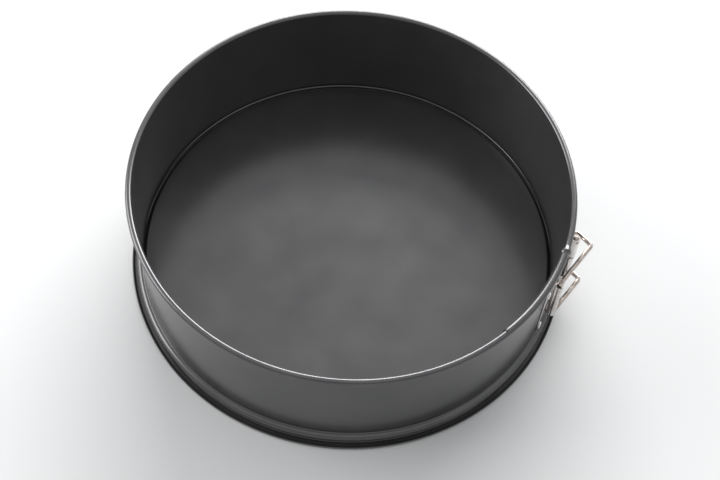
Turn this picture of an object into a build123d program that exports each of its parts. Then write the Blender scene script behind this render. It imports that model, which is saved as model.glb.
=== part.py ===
"""A 24 cm springform pan: a pressed base plate and a split steel ring that an over-centre clasp closes.

Frame: +Z up, origin on the pan's axis in the plane it stands on, clasp centred on +X. Millimetres.
The ring is one springy strip. It is written as three arcs, because rigid solids can't bend: the back
arc stays round and the two side arcs turn about its ends by a degree as the clasp lets go.
"""

import os
from math import cos, radians, sin

from build123d import *

# Driving dimensions
RIM_OUTER_R = 121.0  # half of the pan's width over its rolled rim
RIM_TOP_Z = 73.8
SHEET = 0.6  # ring steel
WALL_MID_R = 117.7  # middle surface of the ring's wall
LAP_DROP = 0.75  # the inner end of the strip runs this far inside the outer one
BEAD_R = 2.35  # half-round bead at the ring's foot, to its middle surface
BEAD_BEND_R = 0.9  # bend between the bead and the wall
BEAD_MID_Z = 5.2

BASE_SHEET = 0.8
BASE_OUTER_R = 124.3
BASE_LIP_Z = 2.0
BASE_FLOOR_Z = 6.2  # upper face of the floor that the cake stands on
BASE_STEP_R = 116.4  # the floor's upturned step, a free fit inside the ring
BASE_SHOULDER = 2.8  # width of the shoulder under the ring
BASE_SHOULDER_Z = 2.25
BASE_SHOULDER_SLOPE = 1.0
LIP = 0.7  # width of the lip's top
LIP_FOOT = 1.8  # where the lip leaves the flange, from its edge
EDGE_FOOT, EDGE_UNDER = 1.5, 0.6  # the flange's underside turns up towards its edge

# The ring's split, in degrees about the pan's axis
SPLIT = -3.3  # edge of the outer end
LAP_END = -31.7  # edge of the inner end
BACK_HALF = 30.0  # half of the back arc
ARC_GAP = 0.05  # between one arc and the next
SPLIT_GAP = 0.3
JOGGLE = 1.2  # the stretch where the strip steps inwards
LAP_RIM_TURN = 95.0  # how far the lap's rim goes over the outer one, in degrees; 285 elsewhere

# Clasp: upright axes, each as a radius and an angle
HOOK_R, HOOK_ANGLE = 122.3, -5.9
PIVOT_R, PIVOT_ANGLE = 123.4, 5.9
LINK_R, LINK_ANGLE = 123.95, 10.05
ELBOW_R, ELBOW_ANGLE = 133.0, 6.8
PLATE = 0.8  # bracket steel
PLATE_Z = (9.0, 59.0)
PLATE_CORNER_R = 2.5
HOOK_PLATE_ANGLES = (-10.3, -4.4)
LEVER_PLATE_ANGLES = (4.0, 18.0)
WIRE_R = 1.3
WIRE_BEND_R = 2.2
PIN_R = 1.45
FIT = 0.05  # radial running clearance
ARM_Z = (17.0, 53.0)
KNUCKLES_Z = ((9.0, 22.6), (43.2, 60.0))
LEVER_Z = (23.4, 42.2)
HOOK_Z = (20.2, 49.8)
HOOK_SLACK = 0.45  # room round the wire's leg in the hook
HOOK_CURL = (75.0, 325.0)  # the hook's roll, in degrees from outwards; it is open outwards
HOOK_NECK = (1.5, 2.0)  # joins the roll to its plate: outwards and along the wall
HOOK_NECK_OFFSET = (0.3, 0.9)
LEVER_SHEET = 1.0
LINK_BARREL_SHEET = 0.8  # the lever is thinner where it wraps the wire
KNUCKLE_SHEET = 1.0  # round the pin
KNUCKLE_EASE = 0.3  # the knuckles' necks stay this far out of the ring's wall
PADDLE_R = 121.6  # middle surface of the lever's finger plate
PADDLE_END = 25.5  # degrees
PADDLE_START = 0.7  # degrees past the pin
TIP_OUT, TIP_TURN = 3.6, 1.6  # the tip turns out by this much, over this many degrees
TIP_INSIDE_TURN = 1.1
TIP_ROOT = 0.25  # degrees of overlap with the plate
RIVET_R, RIVET_HEAD_R, RIVET_HEAD_H = 1.6, 2.4, 0.9
RIVET_FIT = 0.02  # a driven rivet fills its hole but for this
HOLE_START, HOLE_DEPTH = 0.5, 3.0  # the drill starts inside the wall and passes the bracket
CROWN = 0.8  # share of the head's height that is rounded
PIN_PROUD = 0.5  # at each end
PIN_CHAMFER = 0.3
WIRE_BUTT = 0.4  # half of the gap between the wire's two ends
HOOK_RIVETS = (-8.75, (12.2, 45.5))
LEVER_RIVETS = (15.2, (15.0, 52.0))

WALL_OUTER_R = WALL_MID_R + SHEET / 2
WALL_INNER_R = WALL_MID_R - SHEET / 2
PLATE_OUTER_R = WALL_OUTER_R + PLATE
RIM_MID_R = (RIM_OUTER_R - SHEET / 2 - WALL_MID_R) / 2  # of the rolled rim's middle surface
RIM_CENTRE_R = WALL_MID_R + RIM_MID_R
RIM_CENTRE_Z = RIM_TOP_Z - SHEET / 2 - RIM_MID_R
BACK_FIRST, BACK_LAST = 180 - BACK_HALF, 180 + BACK_HALF


def at(radius, angle, height=None):
    """A point from its radius and its angle about the pan's axis, in plan or at a height."""
    plan = (radius * cos(radians(angle)), radius * sin(radians(angle)))
    return plan if height is None else (*plan, height)


def radial_plane(angle):
    """The upright plane through the pan's axis at an angle: X is the radius and Y the height."""
    return Plane(origin=(0, 0, 0), x_dir=at(1, angle, 0), z_dir=at(1, angle - 90, 0))


def facing_plane(angle, height, radius):
    """The plane that faces outwards at an angle, height and radius: X along the wall and Y up."""
    return Plane(origin=at(radius, angle, height), x_dir=at(1, angle + 90, 0), z_dir=at(1, angle, 0))


def clasp_plane(radius, angle, height):
    """The level plane on one of the clasp's axes: X points outwards and Y along the wall."""
    return Plane(origin=at(radius, angle, height), x_dir=at(1, angle, 0), z_dir=(0, 0, 1))


def ring_sheet(first, last, drop=0.0, rim_turn=285.0, width=SHEET):
    """The strip's section turned from one angle to another; drop sets it inwards, parallel to itself."""
    wall = WALL_MID_R - drop
    bead_r = WALL_MID_R + BEAD_BEND_R
    bend_z = BEAD_MID_Z + BEAD_R + BEAD_BEND_R
    with BuildPart() as sheet:
        with BuildSketch(radial_plane(first)):
            with BuildLine():
                CenterArc((bead_r, BEAD_MID_Z), BEAD_R - drop, -90, 180)
                CenterArc((bead_r, bend_z), BEAD_BEND_R + drop, -90, -90)
                Line((wall, bend_z), (wall, RIM_CENTRE_Z))
                CenterArc((RIM_CENTRE_R, RIM_CENTRE_Z), RIM_MID_R + drop, 180, -rim_turn)
            trace(line_width=width)
        revolve(axis=Axis.Z, revolution_arc=last - first)
    return sheet.part


def sector(inner, outer, first, last):
    """A flat sector of a ring, between two radii and two angles, about the origin."""
    with BuildSketch() as flat:
        with BuildLine():
            Line(at(inner, first), at(outer, first))
            CenterArc((0, 0), outer, first, last - first)
            Line(at(outer, last), at(inner, last))
            CenterArc((0, 0), inner, first, last - first)
        make_face()
    return flat.sketch


def wall_plate(first, last):
    """A bracket's plate, bent to the wall, with rounded corners."""
    with BuildPart() as plate:
        with BuildSketch(Plane.XY.offset(PLATE_Z[0])):
            add(sector(WALL_OUTER_R, PLATE_OUTER_R, first, last))
        extrude(amount=PLATE_Z[1] - PLATE_Z[0])
        ends = plate.edges().filter_by(GeomType.LINE).filter_by(Axis.Z, reverse=True)
        fillet(ends, PLATE_CORNER_R)
    return plate.part


def rivet_holes(angle, heights):
    """The rivets' holes, as solids to take away from whatever stands at the wall."""
    with BuildPart() as holes:
        for height in heights:
            with BuildSketch(facing_plane(angle, height, WALL_INNER_R - HOLE_START)):
                Circle(RIVET_R + RIVET_FIT)
            extrude(amount=HOLE_DEPTH)
    return holes.part


def rivet(angle, height, label):
    """One rivet: a shank that ends flush inside the wall, and a low domed head on the bracket."""
    with BuildPart() as made:
        with BuildSketch(facing_plane(angle, height, WALL_INNER_R + RIVET_FIT)):
            Circle(RIVET_R)
        extrude(amount=PLATE_OUTER_R - WALL_INNER_R)
        with BuildSketch(facing_plane(angle, height, PLATE_OUTER_R + RIVET_FIT / 2)):
            Circle(RIVET_HEAD_R)
        extrude(amount=RIVET_HEAD_H)
        crown = made.edges().filter_by(GeomType.CIRCLE).sort_by(Axis.X)[-1]
        fillet(crown, RIVET_HEAD_H * CROWN)
    made.part.label = label
    return made.part


# ---------------------------------------------------------------- base plate
with BuildPart() as base_plate:
    with BuildSketch(Plane.XZ):
        with BuildLine():
            floor = BASE_FLOOR_Z - BASE_SHEET
            Polyline(
                (0, floor),
                (BASE_STEP_R - BASE_SHEET, floor),
                (BASE_STEP_R - BASE_SHEET, 0),
                (BASE_OUTER_R - EDGE_FOOT, 0),
                (BASE_OUTER_R - EDGE_UNDER, BASE_SHEET),
                (BASE_OUTER_R, BASE_SHEET),
                (BASE_OUTER_R, BASE_LIP_Z),
                (BASE_OUTER_R - LIP, BASE_LIP_Z),
                (BASE_OUTER_R - LIP_FOOT, BASE_SHEET),
                (BASE_STEP_R + BASE_SHOULDER + BASE_SHOULDER_SLOPE, BASE_SHEET),
                (BASE_STEP_R + BASE_SHOULDER, BASE_SHOULDER_Z),
                (BASE_STEP_R, BASE_SHOULDER_Z),
                (BASE_STEP_R, BASE_FLOOR_Z - BASE_SHEET),
                (BASE_STEP_R - BASE_SHEET, BASE_FLOOR_Z),
                (0, BASE_FLOOR_Z),
                close=True,
            )
        make_face()
    revolve(axis=Axis.Z)
base_plate.part.label = "base_plate"

# ---------------------------------------------------------------- ring
with BuildPart() as band_back:
    add(ring_sheet(BACK_FIRST + ARC_GAP, BACK_LAST - ARC_GAP))
band_back.part.label = "band_back"

with BuildPart() as band_a:
    add(ring_sheet(BACK_LAST, 360 + SPLIT))
    add(rivet_holes(*HOOK_RIVETS), mode=Mode.SUBTRACT)
band_a.part.label = "band_a"

with BuildPart() as band_b:
    lap_first = SPLIT + SPLIT_GAP
    joggle_end = lap_first + JOGGLE
    add(ring_sheet(lap_first, BACK_FIRST))
    add(ring_sheet(LAP_END, joggle_end, LAP_DROP, LAP_RIM_TURN))
    add(ring_sheet(lap_first, joggle_end, LAP_DROP / 2, LAP_RIM_TURN, SHEET + LAP_DROP))
    add(rivet_holes(*LEVER_RIVETS), mode=Mode.SUBTRACT)
band_b.part.label = "band_b"

# ---------------------------------------------------------------- hook bracket, on the outer end
with BuildPart() as hook_bracket:
    add(wall_plate(*HOOK_PLATE_ANGLES))
    hook_in, hook_out = WIRE_R + HOOK_SLACK, WIRE_R + HOOK_SLACK + PLATE
    with BuildSketch(clasp_plane(HOOK_R, HOOK_ANGLE, HOOK_Z[0])):
        add(sector(hook_in, hook_out, *HOOK_CURL))
        with Locations((-hook_out - HOOK_NECK_OFFSET[0], HOOK_NECK_OFFSET[1])):
            Rectangle(*HOOK_NECK)
    extrude(amount=HOOK_Z[1] - HOOK_Z[0])
    add(rivet_holes(*HOOK_RIVETS), mode=Mode.SUBTRACT)
hook_bracket.part.label = "hook_bracket"

# ---------------------------------------------------------------- lever bracket, on the inner end
knuckle_r = PIN_R + KNUCKLE_SHEET
with BuildPart() as lever_bracket:
    add(wall_plate(*LEVER_PLATE_ANGLES))
    for low, high in KNUCKLES_Z:
        top = min(high, PLATE_Z[1])
        with BuildSketch(clasp_plane(PIVOT_R, PIVOT_ANGLE, low)):
            neck = PIVOT_R - WALL_OUTER_R - KNUCKLE_EASE
            with Locations((-neck / 2, -knuckle_r + PLATE / 2)):
                Rectangle(neck, PLATE)
        extrude(amount=top - low)
        with BuildSketch(clasp_plane(PIVOT_R, PIVOT_ANGLE, low)):
            Circle(knuckle_r)
        extrude(amount=high - low)
    with BuildSketch(clasp_plane(PIVOT_R, PIVOT_ANGLE, 0)):
        Circle(PIN_R + RIVET_FIT)
    extrude(amount=RIM_TOP_Z, mode=Mode.SUBTRACT)
    add(rivet_holes(*LEVER_RIVETS), mode=Mode.SUBTRACT)
lever_bracket.part.label = "lever_bracket"

# ---------------------------------------------------------------- hinge pin
with BuildPart() as hinge_pin:
    with BuildSketch(clasp_plane(PIVOT_R, PIVOT_ANGLE, KNUCKLES_Z[0][0] - PIN_PROUD)):
        Circle(PIN_R)
    extrude(amount=KNUCKLES_Z[1][1] - KNUCKLES_Z[0][0] + 2 * PIN_PROUD)
    chamfer(hinge_pin.edges().filter_by(GeomType.CIRCLE), PIN_CHAMFER)
hinge_pin.part.label = "hinge_pin"

# ---------------------------------------------------------------- lever
lever_height = LEVER_Z[1] - LEVER_Z[0]
with BuildPart() as lever:
    barrel_r = WIRE_R + FIT + LINK_BARREL_SHEET
    inner, outer = PADDLE_R - LEVER_SHEET / 2, PADDLE_R + LEVER_SHEET / 2
    with BuildSketch(Plane.XY.offset(LEVER_Z[0])):
        add(sector(inner, outer, PIVOT_ANGLE + PADDLE_START, PADDLE_END))
        with BuildLine():  # the tip turns outwards for a finger
            tip = Line(at(inner, PADDLE_END), at(inner + TIP_OUT, PADDLE_END + TIP_TURN))
            Polyline(
                tip @ 1,
                at(outer + TIP_OUT, PADDLE_END + TIP_INSIDE_TURN),
                at(outer, PADDLE_END - TIP_ROOT),
                at(inner, PADDLE_END - TIP_ROOT),
                tip @ 0,
            )
        make_face()
    extrude(amount=lever_height)
    with BuildSketch(clasp_plane(PIVOT_R, PIVOT_ANGLE, LEVER_Z[0])):
        Circle(knuckle_r)
    extrude(amount=lever_height)
    with BuildSketch(clasp_plane(LINK_R, LINK_ANGLE, LEVER_Z[0])):
        Circle(barrel_r)
        with Locations((-barrel_r / 2, 0)):
            Rectangle(barrel_r, 2 * barrel_r)
    extrude(amount=lever_height)
    with BuildSketch(clasp_plane(PIVOT_R, PIVOT_ANGLE, LEVER_Z[0])):
        Circle(PIN_R + FIT)
    extrude(amount=lever_height, mode=Mode.SUBTRACT)
    with BuildSketch(clasp_plane(LINK_R, LINK_ANGLE, LEVER_Z[0])):
        Circle(WIRE_R + FIT)
    extrude(amount=lever_height, mode=Mode.SUBTRACT)
lever.part.label = "lever"

# ---------------------------------------------------------------- wire link
with BuildPart() as link:
    low, high = ARM_Z
    middle = (low + high) / 2
    with BuildLine():
        route = FilletPolyline(
            at(LINK_R, LINK_ANGLE, middle + WIRE_BUTT),
            at(LINK_R, LINK_ANGLE, high),
            at(ELBOW_R, ELBOW_ANGLE, high),
            at(HOOK_R, HOOK_ANGLE, high),
            at(HOOK_R, HOOK_ANGLE, low),
            at(ELBOW_R, ELBOW_ANGLE, low),
            at(LINK_R, LINK_ANGLE, low),
            at(LINK_R, LINK_ANGLE, middle - WIRE_BUTT),
            radius=WIRE_BEND_R,
        )
    with BuildSketch(Plane(origin=route @ 0, z_dir=route % 0)):
        Circle(WIRE_R)
    sweep()
link.part.label = "link"

# ---------------------------------------------------------------- rivets
hook_angle, hook_heights = HOOK_RIVETS
lever_angle, lever_heights = LEVER_RIVETS
rivets = [
    rivet(hook_angle, hook_heights[0], "hook_rivet_lower"),
    rivet(hook_angle, hook_heights[1], "hook_rivet_upper"),
    rivet(lever_angle, lever_heights[0], "lever_rivet_lower"),
    rivet(lever_angle, lever_heights[1], "lever_rivet_upper"),
]

os.makedirs("parts", exist_ok=True)
export_step(base_plate.part, "parts/base_plate.step")
export_step(band_back.part, "parts/band_back.step")
export_step(band_a.part, "parts/band_a.step")
export_step(band_b.part, "parts/band_b.step")
export_step(hook_bracket.part, "parts/hook_bracket.step")
export_step(lever_bracket.part, "parts/lever_bracket.step")
export_step(hinge_pin.part, "parts/hinge_pin.step")
export_step(lever.part, "parts/lever.step")
export_step(link.part, "parts/link.step")
for made in rivets:
    export_step(made, f"parts/{made.label}.step")
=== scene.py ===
"""The looks of a springform pan: its split steel ring, its base plate and the clasp that closes it.

Lengths are in millimetres inside the classes and in metres once they are in a mesh. Angles about the
pan's axis are in degrees from +X, which runs out through the clasp.
"""

import logging
import math
from dataclasses import dataclass, field
from enum import Enum
from typing import Callable, Sequence

import bmesh
import bpy
from mathutils import Matrix, Vector

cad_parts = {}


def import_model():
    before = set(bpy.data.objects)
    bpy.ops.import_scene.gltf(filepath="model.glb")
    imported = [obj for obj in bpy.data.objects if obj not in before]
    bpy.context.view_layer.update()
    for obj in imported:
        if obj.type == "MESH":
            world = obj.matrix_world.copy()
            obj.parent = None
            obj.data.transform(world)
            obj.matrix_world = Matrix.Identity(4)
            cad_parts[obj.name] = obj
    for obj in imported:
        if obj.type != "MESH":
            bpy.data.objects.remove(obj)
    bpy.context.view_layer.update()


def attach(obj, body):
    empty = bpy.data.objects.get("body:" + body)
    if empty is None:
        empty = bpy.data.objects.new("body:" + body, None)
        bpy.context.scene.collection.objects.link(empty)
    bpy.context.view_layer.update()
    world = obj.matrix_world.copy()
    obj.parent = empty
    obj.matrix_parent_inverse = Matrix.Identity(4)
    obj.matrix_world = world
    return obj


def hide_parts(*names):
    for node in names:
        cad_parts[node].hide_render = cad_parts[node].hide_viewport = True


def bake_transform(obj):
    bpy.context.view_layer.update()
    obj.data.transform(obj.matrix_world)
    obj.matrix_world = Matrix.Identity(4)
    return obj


LOG = logging.getLogger("springform_pan")
MM = 0.001
MERGE = 1e-7  # metres between points that are taken as one
BACK = 180.0  # the angle opposite the clasp, where the ring's two halves meet
CUT_EDGE = (18, 40, 65)  # where a sheet's rounded cut end is sampled, in degrees
CORNER = (0, 20, 40, 60, 75, 90)  # where a plate's rounded corner is sampled, in degrees
NOISE_LOW, NOISE_HIGH = 0.3, 0.7  # the part of the noise that is spread over a range
MIX_SHARE, MIX_FIRST, MIX_SECOND, MIX_COLOUR = 0, 6, 7, 2  # a colour mix's sockets

Plan = tuple[float, float]
Point = tuple[float, float, float]
Colour = tuple[float, float, float]
Loop = Sequence[bmesh.types.BMVert]
Socket = bpy.types.NodeSocket


class Slot(Enum):
    """The record's material slots."""

    NONSTICK = "nonstick_steel"
    PLATED = "plated_steel"
    WIRE = "plated_wire"


# ------------------------------------------------------------------ outlines and meshes


def polar(radius: float, angle: float) -> Plan:
    """A point from its radius and its angle in degrees."""
    return (radius * math.cos(math.radians(angle)), radius * math.sin(math.radians(angle)))


def arc(centre: Plan, radius: float, first: float, turn: float, steps: int) -> list[Plan]:
    """Points along an arc.

    Args:
        centre: The arc's centre.
        radius: Its radius.
        first: The angle it starts at, in degrees.
        turn: How far it turns, in degrees; negative is clockwise.
        steps: How many stretches it is cut into.

    Returns:
        The points, both ends included.
    """
    points = []
    for i in range(steps + 1):
        x, y = polar(radius, first + turn * i / steps)
        points.append((centre[0] + x, centre[1] + y))
    return points


def line(start: Plan, end: Plan, steps: int) -> list[Plan]:
    """Evenly spaced points along a straight run, both ends left out."""
    return [
        (start[0] + (end[0] - start[0]) * i / steps, start[1] + (end[1] - start[1]) * i / steps)
        for i in range(1, steps)
    ]


def sheet_loop(path: Sequence[Plan], half: float, edge_steps: int = 4) -> list[Plan]:
    """The outline of a sheet's section, with rounded edges.

    Args:
        path: The middle line.
        half: Half of the sheet's thickness.
        edge_steps: How many stretches each rounded edge is cut into.

    Returns:
        The closed outline: the left side, the far edge, the right side and the near edge.
    """
    left, right, headings = [], [], []
    last = len(path) - 1
    for i, (x, y) in enumerate(path):
        x0, y0 = path[max(i - 1, 0)]
        x1, y1 = path[min(i + 1, last)]
        length = math.hypot(x1 - x0, y1 - y0)
        nx, ny = -(y1 - y0) / length, (x1 - x0) / length
        headings.append(math.degrees(math.atan2(ny, nx)))
        left.append((x + nx * half, y + ny * half))
        right.append((x - nx * half, y - ny * half))
    far = arc(path[-1], half, headings[-1], -180, edge_steps)[1:-1]
    near = arc(path[0], half, headings[0] + 180, -180, edge_steps)[1:-1]
    return left + far + right[::-1] + near


class Metal:
    """Collects loops of points into one mesh."""

    def __init__(self, name: str) -> None:
        """Starts an empty mesh with a name."""
        self.name = name
        self.bm = bmesh.new()

    def ring(self, points: Sequence[Vector]) -> list[bmesh.types.BMVert]:
        """Adds one loop of vertices, given in millimetres."""
        return [self.bm.verts.new(p * MM) for p in points]

    def bridge(self, rings: Sequence[Loop]) -> None:
        """Skins neighbouring loops of the same length."""
        for a, b in zip(rings, rings[1:]):
            for i in range(len(a)):
                j = (i + 1) % len(a)
                self.bm.faces.new((a[i], a[j], b[j], b[i]))

    def sheet_cap(self, ring: Loop, side: int) -> None:
        """Closes the end of a swept sheet with quads across its thickness.

        Args:
            ring: The end's loop.
            side: How many points each side of the sheet has.
        """
        edge = (len(ring) - 2 * side) // 2
        right_first = side + edge
        cap = []
        for i in range(side - 1):
            a, b = right_first + side - 1 - i, right_first + side - 2 - i
            cap.append(self.bm.faces.new((ring[i], ring[i + 1], ring[b], ring[a])))
        cap.append(self.bm.faces.new([ring[k] for k in range(side - 1, right_first + 1)]))
        near = [ring[k] for k in range(right_first + side - 1, len(ring))] + [ring[0]]
        cap.append(self.bm.faces.new(near))
        for face in cap:
            for rim in face.edges:
                if any(other not in cap for other in rim.link_faces):
                    rim.smooth = False

    def disc(self, ring: Loop) -> None:
        """Closes a round end with one face and a crisp rim."""
        face = self.bm.faces.new(ring)
        for rim in face.edges:
            rim.smooth = False

    def sweep(
        self,
        section: Callable[[float], Sequence[Plan]],
        stations: Sequence[float],
        place: Callable[[Plan, float], Vector],
        half: float,
        rounded: tuple[bool, bool] = (True, True),
        scale: float = 1.0,
    ) -> None:
        """Carries a sheet's section through a row of stations and rounds the two cut ends.

        Args:
            section: Gives the sheet's middle line at a station.
            stations: Angles or heights, from first to last.
            place: Turns a point of the section at a station into a point in space.
            half: Half of the sheet's thickness.
            rounded: Whether the first and the last cut end are rounded over.
            scale: Station units in one millimetre.
        """
        rows: list[tuple[float, float]] = [(s, 1.0) for s in stations]
        bevel = []
        for turn in map(math.radians, CUT_EDGE):
            bevel.append((half * (1 - math.cos(turn)) * scale, math.sin(turn)))
        if rounded[0]:
            start = rows.pop(0)[0]
            rows = [(start + d, f) for d, f in bevel] + [(start + half * scale, 1.0)] + rows
        if rounded[1]:
            end = rows.pop()[0]
            rows = rows + [(end - half * scale, 1.0)] + [(end - d, f) for d, f in reversed(bevel)]
        rings = []
        for station, share in rows:
            loop = sheet_loop(section(station), half * share)
            rings.append(self.ring([place(p, station) for p in loop]))
        side = len(section(stations[0]))
        self.bridge(rings)
        self.sheet_cap(rings[0], side)
        self.sheet_cap(rings[-1], side)

    def finish(self, finish: "Finish", slot: Slot, replaces: Sequence[str]) -> bpy.types.Object:
        """Turns the collected loops into a smooth object.

        Args:
            finish: Gives the piece its material.
            slot: The record's slot meant for the piece; not used.
            replaces: The frame's nodes that the piece stands for.

        Returns:
            The new object, in the row's frame and not yet riding on a body.
        """
        bmesh.ops.remove_doubles(self.bm, verts=self.bm.verts, dist=MERGE)
        bmesh.ops.recalc_face_normals(self.bm, faces=self.bm.faces)
        for face in self.bm.faces:
            face.smooth = True
        mesh = bpy.data.meshes.new(self.name)
        self.bm.to_mesh(mesh)
        self.bm.free()
        piece = bpy.data.objects.new(self.name, mesh)
        bpy.context.scene.collection.objects.link(piece)
        mesh.materials.append(finish.material())
        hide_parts(*replaces)
        return piece


# ------------------------------------------------------------------ finishes


class Nodes:
    """A short way to write a material's node tree."""

    def __init__(self, name: str) -> None:
        """Makes an empty node material with a principled shader."""
        self.material = bpy.data.materials.new(name)
        self.material.use_nodes = True
        self.tree = self.material.node_tree
        self.shader = self.tree.nodes["Principled BSDF"]
        self.place = self.add("ShaderNodeTexCoord").outputs["Object"]

    def add(self, kind: str, **inputs: object) -> bpy.types.Node:
        """Adds a node; each keyword sets or links the input of that name."""
        node = self.tree.nodes.new(kind)
        for key, value in inputs.items():
            self.put(node.inputs[key], value)
        return node

    def put(self, socket: Socket, value: object) -> None:
        """Links a socket to another node's output, or sets its value."""
        if isinstance(value, Socket):
            self.tree.links.new(value, socket)
        else:
            socket.default_value = value

    def noise(self, grain: "Grain") -> Socket:
        """Soft noise in the object's own space."""
        across, up = grain.stretch
        squeezed = self.add("ShaderNodeMapping", Vector=self.place, Scale=(across, across, up))
        place = squeezed.outputs[0]
        node = self.add("ShaderNodeTexNoise", Vector=place, Scale=grain.scale, Detail=grain.detail)
        return node.outputs["Fac"]

    def spread(self, value: Socket, low: float, high: float) -> Socket:
        """Maps noise onto a range of values."""
        node = self.add("ShaderNodeMapRange", Value=value)
        limits = {"From Min": NOISE_LOW, "From Max": NOISE_HIGH, "To Min": low, "To Max": high}
        for key, number in limits.items():
            node.inputs[key].default_value = number
        return node.outputs[0]

    def tint(self, value: Socket, dark: Colour, light: Colour) -> Socket:
        """Colours noise between two colours."""
        node = self.tree.nodes.new("ShaderNodeMix")
        node.data_type = "RGBA"
        self.put(node.inputs[MIX_SHARE], value)
        node.inputs[MIX_FIRST].default_value = (*dark, 1)
        node.inputs[MIX_SECOND].default_value = (*light, 1)
        return node.outputs[MIX_COLOUR]

    def bump(self, height: Socket, strength: float, depth: float) -> None:
        """Roughens the surface with a height, in metres of depth."""
        node = self.add("ShaderNodeBump", Height=height, Strength=strength, Distance=depth)
        self.put(self.shader.inputs["Normal"], node.outputs[0])


@dataclass(frozen=True)
class Grain:
    """Soft noise: how fine, how detailed, and how far it is squeezed across and up."""

    scale: float
    detail: float
    stretch: Plan = (1.0, 1.0)


@dataclass(frozen=True)
class Finish:
    """A metal finish: two tones in soft patches, an uneven gloss and fine marks in low relief."""

    dark: Colour
    light: Colour
    metallic: float
    patches: Grain
    marks: Grain
    roughness: Plan
    relief: Plan  # how strong the marks are, and how deep in metres
    marks_dull: bool = False  # whether the marks, and not the patches, make the gloss uneven

    def material(self) -> bpy.types.Material:
        """The finish's material, made once."""
        name = type(self).__name__
        found = bpy.data.materials.get(name)
        return found if found else self.make(name)

    def make(self, name: str) -> bpy.types.Material:
        """Builds the material."""
        n = Nodes(name)
        patches, marks = n.noise(self.patches), n.noise(self.marks)
        n.put(n.shader.inputs["Base Color"], n.tint(n.spread(patches, 0, 1), self.dark, self.light))
        gloss = marks if self.marks_dull else patches
        n.put(n.shader.inputs["Roughness"], n.spread(gloss, *self.roughness))
        n.shader.inputs["Metallic"].default_value = self.metallic
        n.bump(marks, *self.relief)
        return n.material


@dataclass(frozen=True)
class NonstickCoat(Finish):
    """Dark grey non-stick coating on steel: satin, with a fine sprayed grain and faint rubbed patches."""

    dark: Colour = (0.112, 0.111, 0.113)
    light: Colour = (0.132, 0.130, 0.130)
    metallic: float = 0.8
    patches: Grain = Grain(45.0, 4.0)
    marks: Grain = Grain(1500.0, 3.0)
    roughness: Plan = (0.23, 0.26)
    relief: Plan = (0.12, 0.00003)


@dataclass(frozen=True)
class PlatedSheet(Finish):
    """Bright plated sheet steel, rolled and stamped, with drawn lines and soft random patches of a darker
    warm tone that is a painted reflection of the dark pan and the brown crust.
    """

    # the dark tone is warm and darker: painted reflection of the dark pan and the brown crust, laid on in
    # soft random patches
    dark: Colour = (0.66, 0.62, 0.59)
    light: Colour = (0.86, 0.85, 0.84)
    metallic: float = 1.0
    patches: Grain = Grain(120.0, 3.0)
    marks: Grain = Grain(900.0, 2.0, (1.0, 0.05))
    roughness: Plan = (0.12, 0.24)
    relief: Plan = (0.2, 0.00002)
    marks_dull: bool = True


@dataclass(frozen=True)
class DrawnWire(Finish):
    """Bright plated wire with faint drawing marks and slightly duller patches; its dark, warm brown tones
    are a painted reflection of the dark pan and the brown crust.
    """

    # both tones are dark and warm brown: painted reflection of the dark pan and the brown crust
    dark: Colour = (0.40, 0.33, 0.29)
    light: Colour = (0.66, 0.60, 0.56)
    metallic: float = 1.0
    patches: Grain = Grain(220.0, 3.0)
    marks: Grain = Grain(1400.0, 2.0)
    roughness: Plan = (0.08, 0.18)
    relief: Plan = (0.15, 0.00002)


# ------------------------------------------------------------------ the ring


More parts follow.
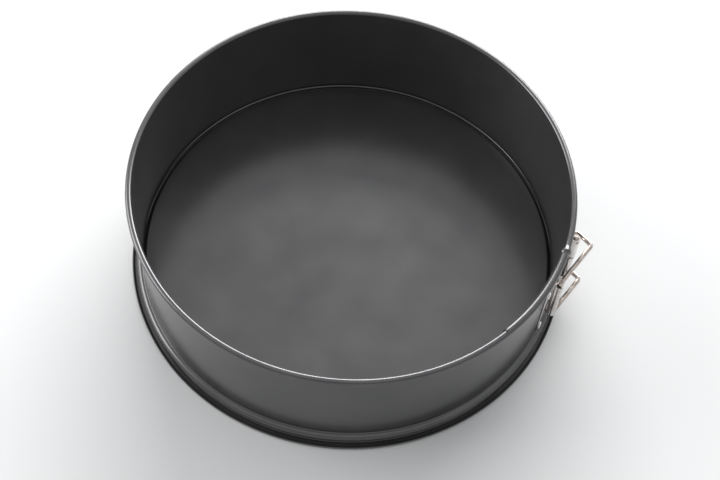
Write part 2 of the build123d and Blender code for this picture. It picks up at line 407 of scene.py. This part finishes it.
@dataclass
class Ring:
    """The split steel strip: a bead at its foot, a plain wall and a rim rolled outwards."""

    sheet: float = 0.6
    wall: float = 117.7  # radius of the wall's middle surface
    bead: float = 2.35  # radius of the bead's middle surface
    bead_bend: float = 0.9  # radius of the bend between the bead and the wall
    bead_height: float = 5.2  # of the bead's middle
    rim: float = 1.5  # radius of the rolled rim's middle surface
    rim_height: float = 72.0  # of the rolled rim's middle
    rim_turn: float = 285.0  # how far the rim is rolled, in degrees
    lap_drop: float = 0.75  # how far the lapping end runs inside the other one
    lap_rim_turn: float = 95.0  # the rim's roll where it laps
    outer_end: float = -3.3  # the outer end's edge
    lap_end: float = -31.7  # the lapping end's edge
    joggle: Plan = (-2.9, -0.9)  # where the strip steps inwards
    step: float = 1.25  # degrees from one section to the next
    fine_step: float = 0.25  # the same in the joggle
    bead_steps: int = 14
    bend_steps: int = 6
    wall_steps: int = 8
    rim_steps: int = 34
    coat: Finish = field(default_factory=NonstickCoat)

    def section(self, drop: float, rim_turn: float) -> list[Plan]:
        """The strip's middle line, as radius and height.

        Args:
            drop: How far inside its usual place the strip runs, parallel to itself.
            rim_turn: How far the rim is rolled, in degrees.

        Returns:
            Points from the bead's foot to the rim's edge.
        """
        wall = self.wall - drop
        bead_centre = (self.wall + self.bead_bend, self.bead_height)
        bend_centre = (bead_centre[0], self.bead_height + self.bead + self.bead_bend)
        rim_centre = (self.wall + self.rim, self.rim_height)
        return (
            arc(bead_centre, self.bead - drop, -90, 180, self.bead_steps)[:-1]
            + arc(bend_centre, self.bead_bend + drop, -90, -90, self.bend_steps)
            + line((wall, bend_centre[1]), (wall, self.rim_height), self.wall_steps)
            + arc(rim_centre, self.rim + drop, 180, -rim_turn, self.rim_steps)
        )

    def at(self, point: Plan, angle: float) -> Vector:
        """A point of the section at an angle about the pan's axis."""
        x, y = polar(point[0], angle)
        return Vector((x, y, point[1]))

    def stations(self, first: float, last: float, step: float) -> list[float]:
        """Evenly spaced angles, both ends included."""
        count = max(1, round((last - first) / step))
        return [first + (last - first) * i / count for i in range(count + 1)]

    def carry(
        self,
        metal: Metal,
        section: Callable[[float], Sequence[Plan]],
        angles: Sequence[float],
        rounded: tuple[bool, bool],
    ) -> None:
        """Carries a section of the strip round the pan's axis.

        Args:
            metal: The mesh to add to.
            section: Gives the strip's middle line at an angle.
            angles: Where it is placed, from first to last.
            rounded: Whether the first and the last end are cut edges.
        """
        degrees = math.degrees(1 / self.wall)
        metal.sweep(section, angles, self.at, self.sheet / 2, rounded, degrees)

    def hook_half(self) -> bpy.types.Object:
        """The half whose end lies outside and carries the hook bracket."""
        metal = Metal("ring_hook_half")
        angles = self.stations(BACK, 360 + self.outer_end, self.step)
        self.carry(metal, lambda angle: self.section(0, self.rim_turn), angles, (False, True))
        piece = metal.finish(self.coat, Slot.NONSTICK, ["band_back", "band_a"])
        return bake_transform(piece)

    def stepped(self, angle: float) -> list[Plan]:
        """The lapping half's section: inside the other half up to the joggle, and in line past it."""
        first, last = self.joggle
        t = min(1.0, max(0.0, (angle - first) / (last - first)))
        outside = t * t * (3 - 2 * t)
        turned = min(1.0, max(0.0, (angle - first) / self.fine_step))
        turn = self.lap_rim_turn + (self.rim_turn - self.lap_rim_turn) * turned
        return self.section(self.lap_drop * (1 - outside), turn)

    def lever_half(self) -> bpy.types.Object:
        """The half whose end laps inside the other and carries the lever bracket."""
        metal = Metal("ring_lever_half")
        first, last = self.joggle
        angles = self.stations(self.lap_end, first, self.step)[:-1]
        angles += self.stations(first, last, self.fine_step)
        angles += self.stations(last, BACK, self.step)[1:]
        self.carry(metal, self.stepped, angles, (True, False))
        piece = metal.finish(self.coat, Slot.NONSTICK, ["band_b"])
        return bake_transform(piece)


# ------------------------------------------------------------------ the base plate


@dataclass
class BasePlate:
    """The pressed base: a raised floor, a step that the ring fits round, and a flange with a raised lip."""

    sheet: float = 0.8
    outer: float = 124.3  # radius of the flange's edge
    lip: float = 2.0  # height of the lip's top
    floor: float = 6.2  # height of the floor's upper face
    step: float = 116.4  # radius of the step that the ring fits round
    shoulder: float = 2.8  # width of the shoulder under the ring
    shoulder_height: float = 2.25
    slope: float = 1.2  # from the shoulder out to where the flange is flat
    lip_foot: float = 1.8  # from the flange's edge in to where the lip starts, on its upper face
    edge_foot: float = 1.6  # the same on its lower face
    bend: float = 1.0  # radius of the floor's bends
    fold: float = 0.6  # radius of the lip's bend
    soft: float = 0.5  # radius of the softer corners
    tight: float = 0.4  # radius of the tighter corners
    floor_loops: tuple[float, float, float] = (40.0, 90.0, 110.0)
    steps: int = 288
    coat: Finish = field(default_factory=NonstickCoat)

    def profile(self) -> list[Plan]:
        """The plate's outline from the middle of its upper face round to the middle of its lower face."""
        bend, fold, soft, tight = self.bend, self.fold, self.soft, self.tight
        shoulder = self.step + self.shoulder
        upper = [(radius, self.floor) for radius in (0.0, *self.floor_loops)]
        upper += arc((self.step - bend, self.floor - bend), bend, 90, -90, 6)
        upper += arc((self.step + tight, self.shoulder_height + tight), tight, 180, 90, 4)
        upper += arc((shoulder - soft, self.shoulder_height - soft), soft, 90, -70, 4)
        upper += arc((shoulder + self.slope, self.sheet + soft), soft, 200, 70, 4)
        upper += arc((self.outer - self.lip_foot, self.sheet + fold), fold, -90, 50, 4)
        upper += arc((self.outer - tight, self.lip - tight), tight, 140, -140, 6)
        under = arc((self.outer - soft, self.sheet + soft), soft, 0, -60, 4)
        under += arc((self.outer - self.edge_foot, fold), fold, -50, -40, 4)
        inner, ceiling = self.step - self.sheet, self.floor - self.sheet
        under += arc((inner + tight, tight), tight, -90, -90, 4)
        under += arc((inner - bend, ceiling - bend), bend, 0, 90, 6)
        under += [(self.floor_loops[1], ceiling), (0.0, ceiling)]
        return upper + under

    def build(self) -> bpy.types.Object:
        """Turns the profile round the pan's axis."""
        metal = Metal("base_plate_pressed")
        profile = self.profile()
        rings = []
        for i in range(self.steps):
            angle = 360 * i / self.steps
            rings.append(metal.ring([Vector((*polar(r, angle), z)) for r, z in profile]))
        for a, b in zip(rings, rings[1:] + rings[:1]):
            for j in range(len(profile) - 1):
                corners = [a[j], a[j + 1], b[j + 1], b[j]]
                if profile[j][0] == 0:
                    corners = [a[j], a[j + 1], b[j + 1]]
                elif profile[j + 1][0] == 0:
                    corners = [a[j], a[j + 1], b[j]]
                metal.bm.faces.new(corners)
        piece = metal.finish(self.coat, Slot.NONSTICK, ["base_plate"])
        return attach(piece, "base")


# ------------------------------------------------------------------ the clasp


@dataclass(frozen=True)
class Axis:
    """One of the clasp's upright axes, as a radius and an angle."""

    radius: float
    angle: float

    def point(self, out: float, along: float, height: float) -> Vector:
        """A point near the axis: outwards and along the wall from it, at a height."""
        x, y = polar(self.radius, self.angle)
        ox, oy = polar(1, self.angle)
        return Vector((x + ox * out - oy * along, y + oy * out + ox * along, height))


@dataclass(frozen=True)
class Rivet:
    """A rivet's place: the node it stands for, its angle, its height and the body it rides on."""

    node: str
    angle: float
    height: float
    body: str


@dataclass
class Clasp:
    """The over-centre clasp: two brackets riveted to the ring, a lever on a pin and a bent wire link."""

    wall: float = 118.0  # radius of the ring's outer face
    plate: float = 0.8  # thickness of the brackets
    plate_low: float = 9.0
    plate_high: float = 59.0
    corner: float = 2.5
    plate_ease: float = 0.2  # radius of the plates' edges
    plate_columns: int = 8
    hook: Axis = Axis(122.3, -5.9)
    pivot: Axis = Axis(123.4, 5.9)
    link_axis: Axis = Axis(123.95, 10.05)
    elbow: Axis = Axis(133.0, 6.8)
    hook_plate: Plan = (-10.3, -4.4)
    lever_plate: Plan = (4.0, 18.0)
    wire: float = 1.3  # the wire's radius
    wire_bend: float = 2.2  # radius of its bends
    wire_butt: float = 0.4  # half of the gap between the wire's two ends
    wire_sides: int = 20
    fit: float = 0.05  # between a barrel and what turns in it
    pin: float = 1.45  # the pin's radius
    pin_proud: float = 0.5  # how far the pin stands out of the knuckles
    pin_end: tuple[Plan, ...] = ((0.0, 0.8), (0.1, 1.15), (0.3, 1.38))  # reach and radius
    arms: Plan = (17.0, 53.0)  # heights of the link's two arms
    knuckles: tuple[Plan, Plan] = ((9.0, 22.6), (43.2, 60.0))
    knuckle_sheet: float = 1.0
    knuckle_roll: Plan = (270.0, 345.0)  # where the roll starts and how far it turns
    neck_ease: float = 0.3  # how far the necks of the rolls stay out of the wall
    lever_span: Plan = (23.4, 42.2)
    lever_sheet: float = 1.0
    pin_barrel: Plan = (200.0, 340.0)
    pin_barrel_ease: float = 0.1
    wire_barrel: Plan = (160.0, -340.0)
    wire_barrel_sheet: float = 0.8
    hook_span: Plan = (20.2, 49.8)
    hook_slack: float = 0.45  # between the hook and the wire
    hook_curl: Plan = (75.0, 325.0)  # where its roll starts and ends; it is open outwards
    hook_neck: Plan = (0.9, 2.0)  # its place along the wall and its thickness
    paddle: float = 121.6  # radius of the finger plate's middle surface
    paddle_start: float = 0.7  # degrees past the pin
    paddle_end: float = 25.5
    paddle_tip: tuple[Plan, ...] = ((0.5, 0.45), (1.5, 0.85), (3.2, 1.3))  # outwards, and degrees on
    rivet: float = 1.6
    rivet_foot: float = 117.42  # the shank's end, 0.02 short of the ring's inside
    rivet_gap: float = 0.01  # between the bracket and the head
    rivet_head: float = 2.4
    rivet_height: float = 0.9
    rivet_brim: float = 0.12
    rivet_brim_ease: float = 0.1
    rivet_dome: float = 0.65  # the share of the head's radius that the dome takes
    rivet_dimple: tuple[Plan, ...] = ((0.02, 0.7), (0.18, 0.45))  # depth and radius
    rivets_at: tuple[Rivet, ...] = (
        Rivet("hook_rivet_lower", -8.75, 12.2, "ring_hook_side"),
        Rivet("hook_rivet_upper", -8.75, 45.5, "ring_hook_side"),
        Rivet("lever_rivet_lower", 15.2, 15.0, "ring_lever_side"),
        Rivet("lever_rivet_upper", 15.2, 52.0, "ring_lever_side"),
    )
    sheet_finish: Finish = field(default_factory=PlatedSheet)
    wire_finish: Finish = field(default_factory=DrawnWire)

    def wall_plate(self, metal: Metal, span: Plan) -> None:
        """Adds a bracket's plate: bent to the wall, rounded at its corners and eased along its edges.

        Args:
            metal: The mesh to add to.
            span: The plate's first and last angle.
        """
        ease, count = self.plate_ease, self.plate_columns
        width = math.radians(span[1] - span[0]) * self.wall
        columns = [self.corner * (1 - math.cos(math.radians(a))) for a in CORNER]
        middle = [self.corner + (width - 2 * self.corner) * i / count for i in range(1, count)]
        columns = columns + middle + [width - c for c in reversed(columns)]
        loops = []
        for s in columns:
            into = max(0.0, self.corner - s, s - (width - self.corner))
            cut = self.corner - math.sqrt(max(0.0, self.corner**2 - into**2))
            low, high = self.plate_low + cut, self.plate_high - cut
            edge = min(s, width - s)
            lift = ease - math.sqrt(max(0.0, ease**2 - max(0.0, ease - edge) ** 2))
            angle = span[0] + math.degrees(s / self.wall)
            outer = self.wall + self.plate - lift
            outline = [(self.wall, low), (outer - ease, low), (outer, low + ease)]
            outline += [(outer, high - ease), (outer - ease, high), (self.wall, high)]
            loops.append(metal.ring([Vector((*polar(r, angle), z)) for r, z in outline]))
        metal.bridge(loops)
        metal.bm.faces.new(loops[0])
        metal.bm.faces.new(loops[-1])

    def roll(self, metal: Metal, axis: Axis, path: Sequence[Plan], sheet: float, span: Plan) -> None:
        """Adds a stretch of rolled sheet that stands upright.

        Args:
            metal: The mesh to add to.
            axis: The axis that the path is drawn about.
            path: The sheet's middle line in plan, outwards and along the wall.
            sheet: Its thickness.
            span: Its lowest and highest point.
        """
        metal.sweep(
            lambda height: path,
            [span[0], (span[0] + span[1]) / 2, span[1]],
            lambda p, height: axis.point(p[0], p[1], height),
            sheet / 2,
        )

    def hook_bracket(self) -> bpy.types.Object:
        """The plate with the rolled hook that the wire's leg lies in."""
        metal = Metal("hook_bracket_stamped")
        self.wall_plate(metal, self.hook_plate)
        middle = self.wire + self.hook_slack + self.plate / 2
        first, last = self.hook_curl
        curl = arc((0, 0), middle, first, last - first, 40)
        self.roll(metal, self.hook, curl, self.plate, self.hook_span)
        back = self.hook.radius - self.wall
        along, thickness = self.hook_neck
        neck = [(-middle, along), (-back + self.neck_ease, along)]
        self.roll(metal, self.hook, neck, thickness, self.hook_span)
        piece = metal.finish(self.sheet_finish, Slot.PLATED, ["hook_bracket"])
        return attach(piece, "ring_hook_side")

    def lever_bracket(self) -> bpy.types.Object:
        """The plate with the two rolled knuckles that hold the pin."""
        metal = Metal("lever_bracket_stamped")
        self.wall_plate(metal, self.lever_plate)
        middle = self.pin + self.knuckle_sheet / 2
        back = self.pivot.radius - self.wall
        for span in self.knuckles:
            path = [(-back + self.neck_ease, -middle), (-back / 2, -middle)]
            path += arc((0, 0), middle, *self.knuckle_roll, 44)
            self.roll(metal, self.pivot, path, self.knuckle_sheet, span)
        piece = metal.finish(self.sheet_finish, Slot.PLATED, ["lever_bracket"])
        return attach(piece, "ring_lever_side")

    def lever(self) -> bpy.types.Object:
        """The sheet lever: a barrel on the pin, a barrel on the wire and a finger plate along the wall."""
        metal = Metal("lever_stamped")
        sheet, span = self.lever_sheet, self.lever_span
        barrel = arc((0, 0), self.pin + self.fit + sheet / 2, *self.pin_barrel, 44)
        self.roll(metal, self.pivot, barrel, sheet - self.pin_barrel_ease, span)
        small = self.wire + self.fit + self.wire_barrel_sheet / 2
        barrel = arc((0, 0), small, *self.wire_barrel, 40)
        self.roll(metal, self.link_axis, barrel, self.wire_barrel_sheet, span)
        first = self.pivot.angle + self.paddle_start
        path = arc((0, 0), self.paddle, first, self.paddle_end - first, 30)
        path += [polar(self.paddle + out, self.paddle_end + on) for out, on in self.paddle_tip]
        self.roll(metal, Axis(0.0, 0.0), path, sheet, span)
        piece = metal.finish(self.sheet_finish, Slot.PLATED, ["lever"])
        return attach(piece, "lever")

    def wire_route(self) -> list[Vector]:
        """The link's corners: its two butted ends stand inside the lever's barrel."""
        low, high = self.arms
        middle = (low + high) / 2
        return [
            self.link_axis.point(0, 0, middle + self.wire_butt),
            self.link_axis.point(0, 0, high),
            self.elbow.point(0, 0, high),
            self.hook.point(0, 0, high),
            self.hook.point(0, 0, low),
            self.elbow.point(0, 0, low),
            self.link_axis.point(0, 0, low),
            self.link_axis.point(0, 0, middle - self.wire_butt),
        ]

    def rounded(self, corners: Sequence[Vector], radius: float, steps: int = 10) -> list[Vector]:
        """A wire's middle line: straight runs joined by bends of one radius.

        Args:
            corners: Where the runs would meet.
            radius: The bends' radius.
            steps: How many stretches each bend is cut into.

        Returns:
            Points along the wire.
        """
        points = [corners[0]]
        for before, corner, after in zip(corners, corners[1:], corners[2:]):
            a, b = (before - corner).normalized(), (after - corner).normalized()
            half = a.angle(b) / 2
            reach = radius / math.tan(half)
            centre = corner + (a + b).normalized() * (radius / math.sin(half))
            start, end = corner + a * reach - centre, corner + b * reach - centre
            turn = math.pi - 2 * half
            for i in range(steps + 1):
                t = turn * i / steps
                points.append(centre + (start * math.sin(turn - t) + end * math.sin(t)) / math.sin(turn))
        points.append(corners[-1])
        return points

    def link(self) -> bpy.types.Object:
        """The bent wire between the lever and the hook."""
        metal = Metal("link_wire")
        path = self.rounded(self.wire_route(), self.wire_bend)
        across = Vector((1, 0, 0))
        rings = []
        for i, point in enumerate(path):
            ahead = (path[min(i + 1, len(path) - 1)] - path[max(i - 1, 0)]).normalized()
            across = (across - ahead * across.dot(ahead)).normalized()
            other = ahead.cross(across)
            circle = arc((0, 0), self.wire, 0, 360, self.wire_sides)[:-1]
            rings.append(metal.ring([point + across * x + other * y for x, y in circle]))
        metal.bridge(rings)
        metal.disc(rings[0])
        metal.disc(rings[-1])
        piece = metal.finish(self.wire_finish, Slot.WIRE, ["link"])
        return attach(piece, "link")

    def lathe(
        self, metal: Metal, profile: Sequence[Plan], start: Vector, axis: Vector, steps: int = 28
    ) -> None:
        """Turns a profile about a line.

        Args:
            metal: The mesh to add to.
            profile: Distance along the line and radius, from one end to the other.
            start: Where the line starts.
            axis: Its direction.
            steps: How many stretches a turn is cut into.
        """
        across = axis.orthogonal().normalized()
        other = axis.cross(across)
        rings = []
        for reach, radius in profile:
            circle = arc((0, 0), radius, 0, 360, steps)[:-1]
            rings.append(metal.ring([start + axis * reach + across * x + other * y for x, y in circle]))
        metal.bridge(rings)
        metal.disc(rings[0])
        metal.disc(rings[-1])

    def pin_piece(self) -> bpy.types.Object:
        """The hinge pin, with slightly rounded ends."""
        metal = Metal("hinge_pin_turned")
        low, high = self.knuckles[0][0] - self.pin_proud, self.knuckles[1][1] + self.pin_proud
        profile = [*self.pin_end, (self.pin_proud, self.pin)]
        profile += [(high - low - reach, radius) for reach, radius in reversed(profile)]
        self.lathe(metal, profile, self.pivot.point(0, 0, low), Vector((0, 0, 1)))
        piece = metal.finish(self.wire_finish, Slot.WIRE, ["hinge_pin"])
        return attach(piece, "ring_lever_side")

    def rivet_piece(self, place: Rivet) -> bpy.types.Object:
        """One rivet: a shank that ends at the wall's inside and a domed head with a pressed middle."""
        metal = Metal(place.node + "_domed")
        out = self.wall + self.plate + self.rivet_gap - self.rivet_foot
        head, brim = self.rivet_head, self.rivet_brim
        profile = [(0.0, self.rivet), (out, self.rivet), (out, head - self.rivet_brim_ease)]
        profile += [(out + brim, head)]
        for turn in range(15, 76, 15):
            x, y = polar(1, turn)
            reach = out + brim + (self.rivet_height - brim) * y
            profile.append((reach, head * (1 - self.rivet_dome + self.rivet_dome * x)))
        profile += [(out + self.rivet_height - deep, radius) for deep, radius in self.rivet_dimple]
        direction = Vector((*polar(1, place.angle), 0))
        start = direction * self.rivet_foot + Vector((0, 0, place.height))
        self.lathe(metal, profile, start, direction)
        piece = metal.finish(self.sheet_finish, Slot.PLATED, [place.node])
        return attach(piece, place.body)


# ------------------------------------------------------------------ floor, light and camera


@dataclass(frozen=True)
class Lamp:
    """A rectangular lamp that faces the pan: its name, place, width and height in metres, and watts."""

    name: str
    place: Point
    size: Plan
    power: float


@dataclass
class Studio:
    """A pale floor, soft light from behind and a camera that looks down into the pan."""

    azimuth: float = 13.6
    elevation: float = 57.89
    roll: float = 4.86
    lens: float = 64.4
    sensor: float = 36.0
    clip: Plan = (0.01, 10.0)  # in metres
    eye: Point = (0.09895, -0.38115, 0.64066)  # where the camera stands, in metres
    floor_colour: Colour = (0.65, 0.65, 0.65)
    floor_roughness: float = 0.5
    floor_size: float = 14.0
    sky: Colour = (0.97, 0.985, 1.0)
    bright_side: Point = (-0.12, 0.56, 0.82)
    fade: Plan = (-0.25, 0.7)  # how far a direction faces the bright side where it is dimmest and brightest
    dimmest: float = 0.42
    brightest: float = 0.8
    lamps: tuple[Lamp, ...] = (
        Lamp("window", (-0.12, 1.45, 0.85), (1.8, 0.8), 46.0),
        Lamp("fill", (-1.5, -0.2, 0.75), (1.2, 1.0), 17.0),
    )

    def build(self) -> None:
        """Makes the floor, the world, the lamps and the camera."""
        self.floor()
        self.world()
        bpy.context.scene.view_settings.view_transform = "Standard"
        for lamp in self.lamps:
            self.hang(lamp)
        self.camera()

    def floor(self) -> None:
        """A large pale floor."""
        half = self.floor_size / 2
        mesh = bpy.data.meshes.new("floor")
        corners = [(-half, -half, 0), (half, -half, 0), (half, half, 0), (-half, half, 0)]
        mesh.from_pydata(corners, [], [(0, 1, 2, 3)])
        floor = bpy.data.objects.new("floor", mesh)
        bpy.context.scene.collection.objects.link(floor)
        n = Nodes("pale_floor")
        n.shader.inputs["Base Color"].default_value = (*self.floor_colour, 1)
        n.shader.inputs["Roughness"].default_value = self.floor_roughness
        mesh.materials.append(n.material)

    def world(self) -> None:
        """Soft light from all round: bright overhead and behind, dim on the camera's side."""
        world = bpy.data.worlds.new("studio")
        bpy.context.scene.world = world
        world.use_nodes = True
        tree = world.node_tree
        direction = tree.nodes.new("ShaderNodeTexCoord").outputs["Generated"]
        facing = tree.nodes.new("ShaderNodeVectorMath")
        facing.operation = "DOT_PRODUCT"
        facing.inputs[1].default_value = self.bright_side
        tree.links.new(direction, facing.inputs[0])
        fade = tree.nodes.new("ShaderNodeMapRange")
        fade.interpolation_type = "SMOOTHSTEP"
        limits = (*self.fade, self.dimmest, self.brightest)
        for key, number in zip(("From Min", "From Max", "To Min", "To Max"), limits):
            fade.inputs[key].default_value = number
        tree.links.new(facing.outputs["Value"], fade.inputs["Value"])
        background = tree.nodes["Background"]
        background.inputs["Color"].default_value = (*self.sky, 1)
        tree.links.new(fade.outputs[0], background.inputs["Strength"])

    def hang(self, lamp: Lamp) -> None:
        """Hangs a lamp in its place and turns it to the pan."""
        light = bpy.data.lights.new(lamp.name, "AREA")
        light.shape = "RECTANGLE"
        light.size, light.size_y = lamp.size
        light.energy = lamp.power
        hung = bpy.data.objects.new(lamp.name, light)
        bpy.context.scene.collection.objects.link(hung)
        hung.location = lamp.place
        hung.rotation_euler = (-Vector(lamp.place)).to_track_quat("-Z", "Y").to_euler()

    def camera(self) -> None:
        """The camera, turned by its azimuth, elevation and roll."""
        a, e, roll = (math.radians(x) for x in (self.azimuth, self.elevation, self.roll))
        ahead = Vector((-math.sin(a) * math.cos(e), math.cos(a) * math.cos(e), -math.sin(e)))
        level = Vector((math.cos(a), math.sin(a), 0))
        upright = level.cross(ahead)
        right = level * math.cos(roll) + upright * math.sin(roll)
        above = upright * math.cos(roll) - level * math.sin(roll)
        data = bpy.data.cameras.new("camera")
        data.lens = self.lens
        data.sensor_width = self.sensor
        data.clip_start, data.clip_end = self.clip
        camera = bpy.data.objects.new("camera", data)
        bpy.context.scene.collection.objects.link(camera)
        turn = Matrix((right, above, -ahead)).transposed()
        camera.matrix_world = Matrix.Translation(self.eye) @ turn.to_4x4()
        bpy.context.scene.camera = camera


def main() -> None:
    """Builds every piece round the frame."""
    logging.basicConfig(level=logging.INFO)
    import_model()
    ring, base, clasp = Ring(), BasePlate(), Clasp()
    builders = [ring.hook_half, ring.lever_half, base.build, clasp.hook_bracket, clasp.lever_bracket]
    builders += [clasp.pin_piece, clasp.lever, clasp.link]
    pieces = [build() for build in builders] + [clasp.rivet_piece(place) for place in clasp.rivets_at]
    for piece in pieces:
        finish = piece.data.materials[0].name
        LOG.info("%s: %d faces, finish %s", piece.name, len(piece.data.polygons), finish)
    Studio().build()


if __name__ == "__main__":
    main()
